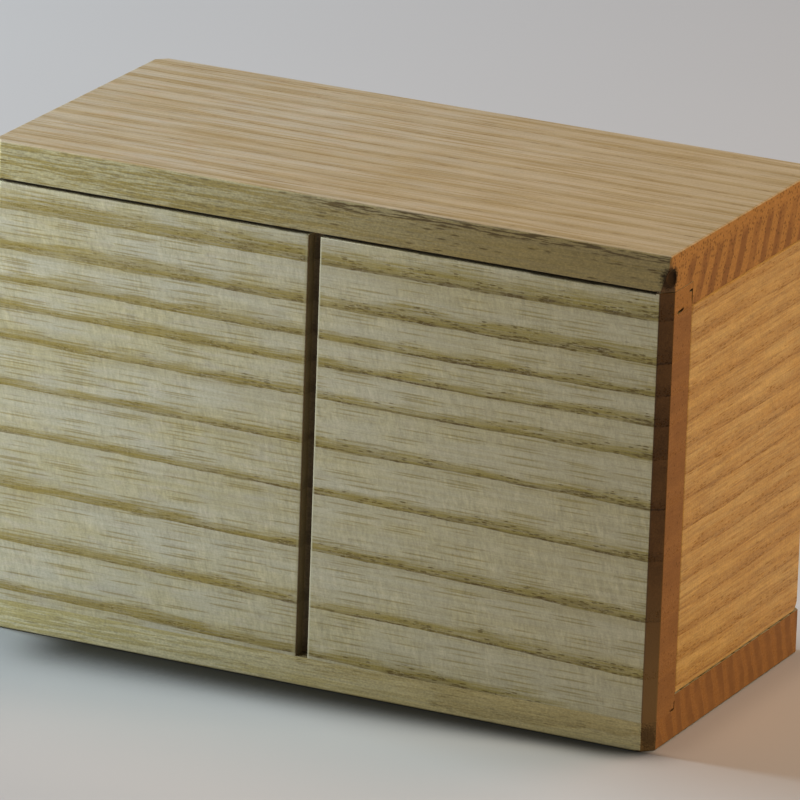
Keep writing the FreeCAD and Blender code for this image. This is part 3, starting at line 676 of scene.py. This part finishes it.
bottomBoard = dict(
    plainBoard, shift=71.1, wander=1.8, pith=(-145.0, -32.0), ringWidth=3.8, stripeStrength=0.6,
    pale=(0.42, 0.375, 0.25), paleWarm=(0.40, 0.34, 0.20),
    endPale=(0.215, 0.092, 0.030), endDark=(0.12, 0.050, 0.020),
    marks={
        "edgeFace": {"light": (0.53, 0.475, 0.29), "deep": (0.375, 0.31, 0.12),
                     "right": (0.42, 0.31, 0.13), "strength": 0.75,
                     "pore": (0.10, 0.07, 0.03), "poreStrength": 0.3},
        "corner": (0.13, 0.075, 0.03), "cornerBand": (0.05, 0.03, 0.015),
        "spots": [{"place": (59.2, -28.4, 2.6), "reach": (1.4, 1.4, 2.0), "strength": 0.5,
                   "colour": (0.05, 0.03, 0.016)}],
    })

endBoard = dict(
    plainBoard, grain="y", shift=5.9, wander=0.8, pith=(60.0, -150.0), ringWidth=4.4, bandDepth=2.6,
    fray=1.0, bandStrength=0.55, edgeStrength=0.15, poreSpread=0.5, poreStrength=0.45, dashSpread=0.3,
    dashStrength=0.55, strayPores=0.05, streakStrength=0.42, lineCell=(7.0, 0.42, 0.42), lineSpread=0.6,
    lineStrength=0.55, fibreStrength=0.17, gritStrength=0.14, coreStrength=0.5,
    core=(0.22, 0.10, 0.026), rosy=(0.44, 0.25, 0.085), pale=(0.405, 0.24, 0.082),
    paleWarm=(0.365, 0.2, 0.058), band=(0.28, 0.137, 0.036), line=(0.27, 0.13, 0.033),
    pore=(0.17, 0.065, 0.015), wearAndHighlight=(0.50, 0.31, 0.13))

leftBoard = dict(endBoard, shift=15.9)

innerBoard = dict(plainBoard, grain="y", shift=35.3, wander=0.8, pith=(80.0, -170.0), ringWidth=5.5)

stripBoard = dict(
    plainBoard, shift=83.0, wander=0.5, pith=(0.0, 0.0), ringWidth=3.8,
    pale=(0.33, 0.24, 0.13), paleWarm=(0.34, 0.23, 0.11), rosy=(0.33, 0.23, 0.13))

keyBoard = dict(
    plainBoard, shift=57.0, wander=0.5, pith=(20.0, -30.0), ringWidth=3.4,
    pale=(0.20, 0.10, 0.045), paleWarm=(0.21, 0.10, 0.04), rosy=(0.20, 0.10, 0.045),
    band=(0.13, 0.06, 0.025), line=(0.13, 0.06, 0.025), core=(0.09, 0.045, 0.02),
    pore=(0.04, 0.022, 0.012), wearAndHighlight=(0.26, 0.14, 0.07),
    endPale=(0.14, 0.06, 0.028), endDark=(0.09, 0.04, 0.02))

boards = {
    "lid_board": ("lidAsh", lidBoard, "lid_wood"),
    "front_panel": ("frontAsh", frontBoard, "front_wood"),
    "back_panel": ("backAsh", backBoard, "back_wood"),
    "bottom_board": ("bottomAsh", bottomBoard, "floor_wood"),
    "right_end_panel": ("endAsh", endBoard, "end_wood"),
    "left_end_panel": ("leftAsh", leftBoard, "end_wood"),
    "inner_end_wall": ("innerAsh", innerBoard, "inner_wood"),
    "end_panel_runner": ("innerAsh", innerBoard, "inner_wood"),
    "front_lid_spline": ("stripAsh", stripBoard, "strip_wood"),
    "back_lid_spline": ("stripAsh", stripBoard, "strip_wood"),
    "corner_dowels": ("stripAsh", stripBoard, "strip_wood"),
    "locking_key": ("keyWalnut", keyBoard, "key_wood"),
}

finishes = {}
for node, (name, board, slotName) in boards.items():
    if name not in finishes:
        finishes[name] = makeAsh(name, board)
    nodes[node].data.materials.clear()
    nodes[node].data.materials.append(finishes[name])
print("wood laid out on", len(boards), "pieces")


# The boards that show most are worked over by hand: eased edges, a slightly uneven joint, and small hollows
# in the end grain. Places and sizes are in mm.

panelWork = {
    "name": "frontPanelWorked", "node": "front_panel", "body": "box",
    "front": -29.2, "top": 75.35, "bottom": 4.9, "kerfMiddle": -1.75, "kerfHalf": 1.0,
    "end": 60.0, "cornerFrom": 58.1, "cornerTo": -27.3,
    "ease": 0.22, "segments": 3, "sagRamp": 1.2,
    "sags": [(-43.0, -40.5, 0.05), (-8.0, -5.0, 0.06), (17.0, 20.0, 0.05), (36.5, 47.0, 0.12)],
    "hollows": [
        {"place": (60.1, -25.0, 72.1), "reach": (0.9, 1.25, 0.22), "turn": 12.0},
        {"place": (60.1, -21.35, 74.5), "reach": (0.8, 0.6, 0.2), "turn": 0.0},
    ],
}

lidWork = {
    "name": "lidBoardWorked", "node": "lid_board", "body": "lid",
    "front": -29.2, "lipLevel": 75.85, "ease": 0.22, "segments": 3,
    "hollows": [{"place": (60.3, -28.5, 78.2), "reach": (1.3, 1.3, 1.7), "turn": 0.0}],
}

near = 0.01    # mm, two places closer than this count as one
handWork = {
    "joinWithin": 0.000002,    # metres
    "flatWithin": 0.01,        # radians
    "smoothBelow": 40.0,       # degrees
    "roughHollow": 0.00007,    # metres
    "roughSeed": 3,
}


def startCopy(work):
    # a copy of the board with its triangles joined into whole faces again
    bpy.ops.object.select_all(action="DESELECT")
    piece = bpy.data.objects.new(work["name"], nodes[work["node"]].data.copy())
    bpy.context.scene.collection.objects.link(piece)
    bpy.context.view_layer.objects.active = piece
    piece.select_set(True)
    bpy.ops.mesh.customdata_custom_splitnormals_clear()
    bpy.ops.object.mode_set(mode="EDIT")
    bpy.ops.mesh.select_all(action="SELECT")
    bpy.ops.mesh.remove_doubles(threshold=handWork["joinWithin"])
    bpy.ops.mesh.dissolve_limited(angle_limit=handWork["flatWithin"])
    bpy.ops.mesh.select_all(action="DESELECT")
    bpy.ops.object.mode_set(mode="OBJECT")
    return piece


def selectEdges(piece, wanted):
    bpy.ops.object.mode_set(mode="EDIT")
    bpy.ops.mesh.select_mode(type="EDGE")
    bpy.ops.mesh.select_all(action="DESELECT")
    bpy.ops.object.mode_set(mode="OBJECT")
    for edge in piece.data.edges:
        first, second = (piece.data.vertices[index].co * 1000.0 for index in edge.vertices)
        edge.select = wanted(first, second)
    bpy.ops.object.mode_set(mode="EDIT")


def easeEdges(piece, work, wanted):
    selectEdges(piece, wanted)
    bpy.ops.mesh.bevel(offset=work["ease"] * mm, segments=work["segments"], profile=0.5, affect="EDGES")
    bpy.ops.object.mode_set(mode="OBJECT")


def sagJoint(piece, work):
    # the top arris of the panel was planed a little low in a few places, which makes the open joint uneven
    for start, end, drop in work["sags"]:
        for place in (start - work["sagRamp"], start, end, end + work["sagRamp"]):
            bpy.ops.object.mode_set(mode="EDIT")
            bpy.ops.mesh.select_all(action="SELECT")
            bpy.ops.mesh.bisect(plane_co=(place * mm, 0.0, 0.0), plane_no=(1.0, 0.0, 0.0))
            bpy.ops.object.mode_set(mode="OBJECT")
        selectEdges(piece, lambda first, second: all(
            start - near <= tip.x <= end + near and tip.y < work["front"] + near
            and abs(tip.z - work["top"]) < near for tip in (first, second)))
        bpy.ops.transform.translate(value=(0.0, 0.0, -drop * mm))
        bpy.ops.object.mode_set(mode="OBJECT")


def cutHollow(piece, given):
    bpy.ops.object.select_all(action="DESELECT")
    place = Vector(given["place"]) * mm
    turned = (math.radians(given["turn"]), 0.0, 0.0)
    bpy.ops.mesh.primitive_ico_sphere_add(subdivisions=3, radius=mm, location=place, rotation=turned,
                                          scale=given["reach"])
    cutter = bpy.context.object
    bpy.ops.object.mode_set(mode="EDIT")
    bpy.ops.mesh.select_all(action="SELECT")
    bpy.ops.transform.vertex_random(offset=handWork["roughHollow"], seed=handWork["roughSeed"])
    bpy.ops.object.mode_set(mode="OBJECT")
    bpy.context.view_layer.objects.active = piece
    cut = piece.modifiers.new("hollow", "BOOLEAN")
    cut.operation = "DIFFERENCE"
    cut.solver = "EXACT"
    cut.object = cutter
    bpy.ops.object.modifier_apply(modifier=cut.name)
    bpy.data.objects.remove(cutter)


def finishCopy(piece, work):
    for hollow in work["hollows"]:
        cutHollow(piece, hollow)
    bpy.ops.object.select_all(action="DESELECT")
    piece.select_set(True)
    bpy.context.view_layer.objects.active = piece
    bpy.ops.object.shade_smooth_by_angle(angle=math.radians(handWork["smoothBelow"]))
    even = piece.modifiers.new("evenNormals", "WEIGHTED_NORMAL")
    even.keep_sharp = True
    bpy.ops.object.modifier_apply(modifier=even.name)
    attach(piece, work["body"])
    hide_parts(work["node"])


def workFrontPanel(work):
    piece = startCopy(work)
    sagJoint(piece, work)

    def onCorner(tip):
        return abs(tip.x) > work["end"] - near and tip.y < work["cornerTo"]

    def shows(first, second):
        # everything on the face and the planed corners, but not where the panel meets the bottom board
        outside = all(tip.y < work["front"] + near or onCorner(tip) for tip in (first, second))
        low = all(tip.z < work["bottom"] + near for tip in (first, second))
        upright = abs(first.x - second.x) < near and abs(first.y - second.y) < near
        fromKerf = abs(abs(first.x - work["kerfMiddle"]) - work["kerfHalf"])
        plain = upright and fromKerf > near and abs(first.x) < work["cornerFrom"]
        return outside and not low and not plain

    easeEdges(piece, work, shows)
    finishCopy(piece, work)


def workLid(work):
    piece = startCopy(work)

    def underLip(first, second):
        return all(tip.y < work["front"] + near and abs(tip.z - work["lipLevel"]) < near
                   for tip in (first, second))

    easeEdges(piece, work, underLip)
    finishCopy(piece, work)


workFrontPanel(panelWork)
workLid(lidWork)
print("front panel and lid worked over")


# The floor. A contact shadow is painted into its colour where the box meets it, most under the front edge
# and less towards the right.

floorPlan = {
    "reach": 12.0,
    "colour": (0.545, 0.53, 0.555),
    "roughness": 0.6,
    "cloudSize": 9.0,
    "cloudSwing": (0.04, 0.98),
    "shadeReach": (-45.0, 60.0, 0.021, 0.009),    # from x to x in mm, then metres at each
    "frontLine": (-27.0, -30.0),                  # y in mm
    "leftFade": (-58.0, -38.0),                   # x in mm
    "darkest": (0.8, 0.06),                       # elsewhere, and in front
    "openness": (0.6, 0.99),
}


def contactShade(tree, point, given):
    split = addNode(tree, "ShaderNodeSeparateXYZ", {0: point})
    x, y, _ = (times(tree, out, 1000.0) for out in split.outputs)
    reach = rise(tree, x, *given["shadeReach"])
    around = addNode(tree, "ShaderNodeAmbientOcclusion", {"Distance": reach}, samples=16)
    inFront = times(tree, rise(tree, y, *given["frontLine"]), rise(tree, x, *given["leftFade"]))
    least = rise(tree, inFront, 0.0, 1.0, *given["darkest"])
    return rise(tree, around.outputs["AO"], *given["openness"], least, 1.0)


def makeFloor(given):
    bpy.ops.object.select_all(action="DESELECT")
    bpy.ops.mesh.primitive_plane_add(size=given["reach"], location=(0.0, 0.0, 0.0))
    floor = bpy.context.object
    floor.name = "studioFloor"
    made = bpy.data.materials.new("paleFloor")
    made.use_nodes = True
    tree = made.node_tree
    shader = tree.nodes["Principled BSDF"]
    point = addNode(tree, "ShaderNodeTexCoord").outputs["Object"]
    cloudy = {"Vector": point, "Scale": given["cloudSize"], "Detail": 2.0}
    cloud = addNode(tree, "ShaderNodeTexNoise", cloudy).outputs["Fac"]
    swing, least = given["cloudSwing"]
    shade = times(tree, maths(tree, "MULTIPLY_ADD", cloud, swing, least), contactShade(tree, point, given))
    colour = blendColours(tree, 1.0, given["colour"], greyOf(tree, shade), "MULTIPLY")
    tree.links.new(colour, shader.inputs["Base Color"])
    shader.inputs["Roughness"].default_value = given["roughness"]
    floor.data.materials.append(made)
    floor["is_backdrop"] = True


makeFloor(floorPlan)
print("floor laid")


# Soft studio light: a wide one overhead from behind, a cool one from the left, a low fill for the front and
# a warm one at the right. The fill is kept off the floor, as a flag would keep it, so the shadow under the
# front edge stays deep.

lamps = {
    "overhead": {"place": (0.30, 0.42, 1.10), "aim": (0.0, 0.0, 0.04), "size": 0.42, "power": 3.3,
                 "colour": (1.0, 0.56, 0.38)},
    "leftWindow": {"place": (-1.05, 0.02, 0.50), "aim": (0.0, 0.0, 0.04), "size": 0.40, "power": 19.0,
                   "colour": (0.74, 0.93, 1.0), "noGlare": True},
    "frontFill": {"place": (-0.25, -0.22, 0.13), "aim": (-0.03, 0.0, 0.04), "size": 0.16, "power": 0.98,
                  "colour": (0.90, 0.99, 1.0), "offFloor": True},
    "warmSide": {"place": (0.85, 0.12, 0.34), "aim": (0.05, 0.0, 0.03), "size": 0.36, "power": 7.1,
                 "colour": (1.0, 0.87, 0.60), "noGlare": True},
}
room = {"colour": (0.78, 0.74, 0.68), "strength": 0.045}


def placeLamps(given):
    boxOnly = bpy.data.collections.new("boxOnly")
    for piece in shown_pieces():
        boxOnly.objects.link(piece)
    for name, lamp in given.items():
        data = bpy.data.lights.new(name, "AREA")
        data.shape = "DISK"
        data.size = lamp["size"]
        data.energy = lamp["power"]
        data.color = lamp["colour"]
        made = bpy.data.objects.new(name, data)
        bpy.context.scene.collection.objects.link(made)
        made.location = lamp["place"]
        aim = Vector(lamp["aim"]) - Vector(lamp["place"])
        made.rotation_euler = aim.to_track_quat("-Z", "Y").to_euler()
        # seen from the far side, a lamp at an end would whiten the top and the floor with glare
        made.visible_glossy = not lamp.get("noGlare", False)
        if lamp.get("offFloor"):
            made.light_linking.receiver_collection = boxOnly


def lightRoom(given):
    world = bpy.data.worlds.new("paleRoom")
    bpy.context.scene.world = world
    world.use_nodes = True
    back = world.node_tree.nodes["Background"]
    back.inputs["Color"].default_value = (*given["colour"], 1.0)
    back.inputs["Strength"].default_value = given["strength"]


placeLamps(lamps)
lightRoom(room)
bpy.context.scene.view_settings.view_transform = "Standard"
print("lamps placed")
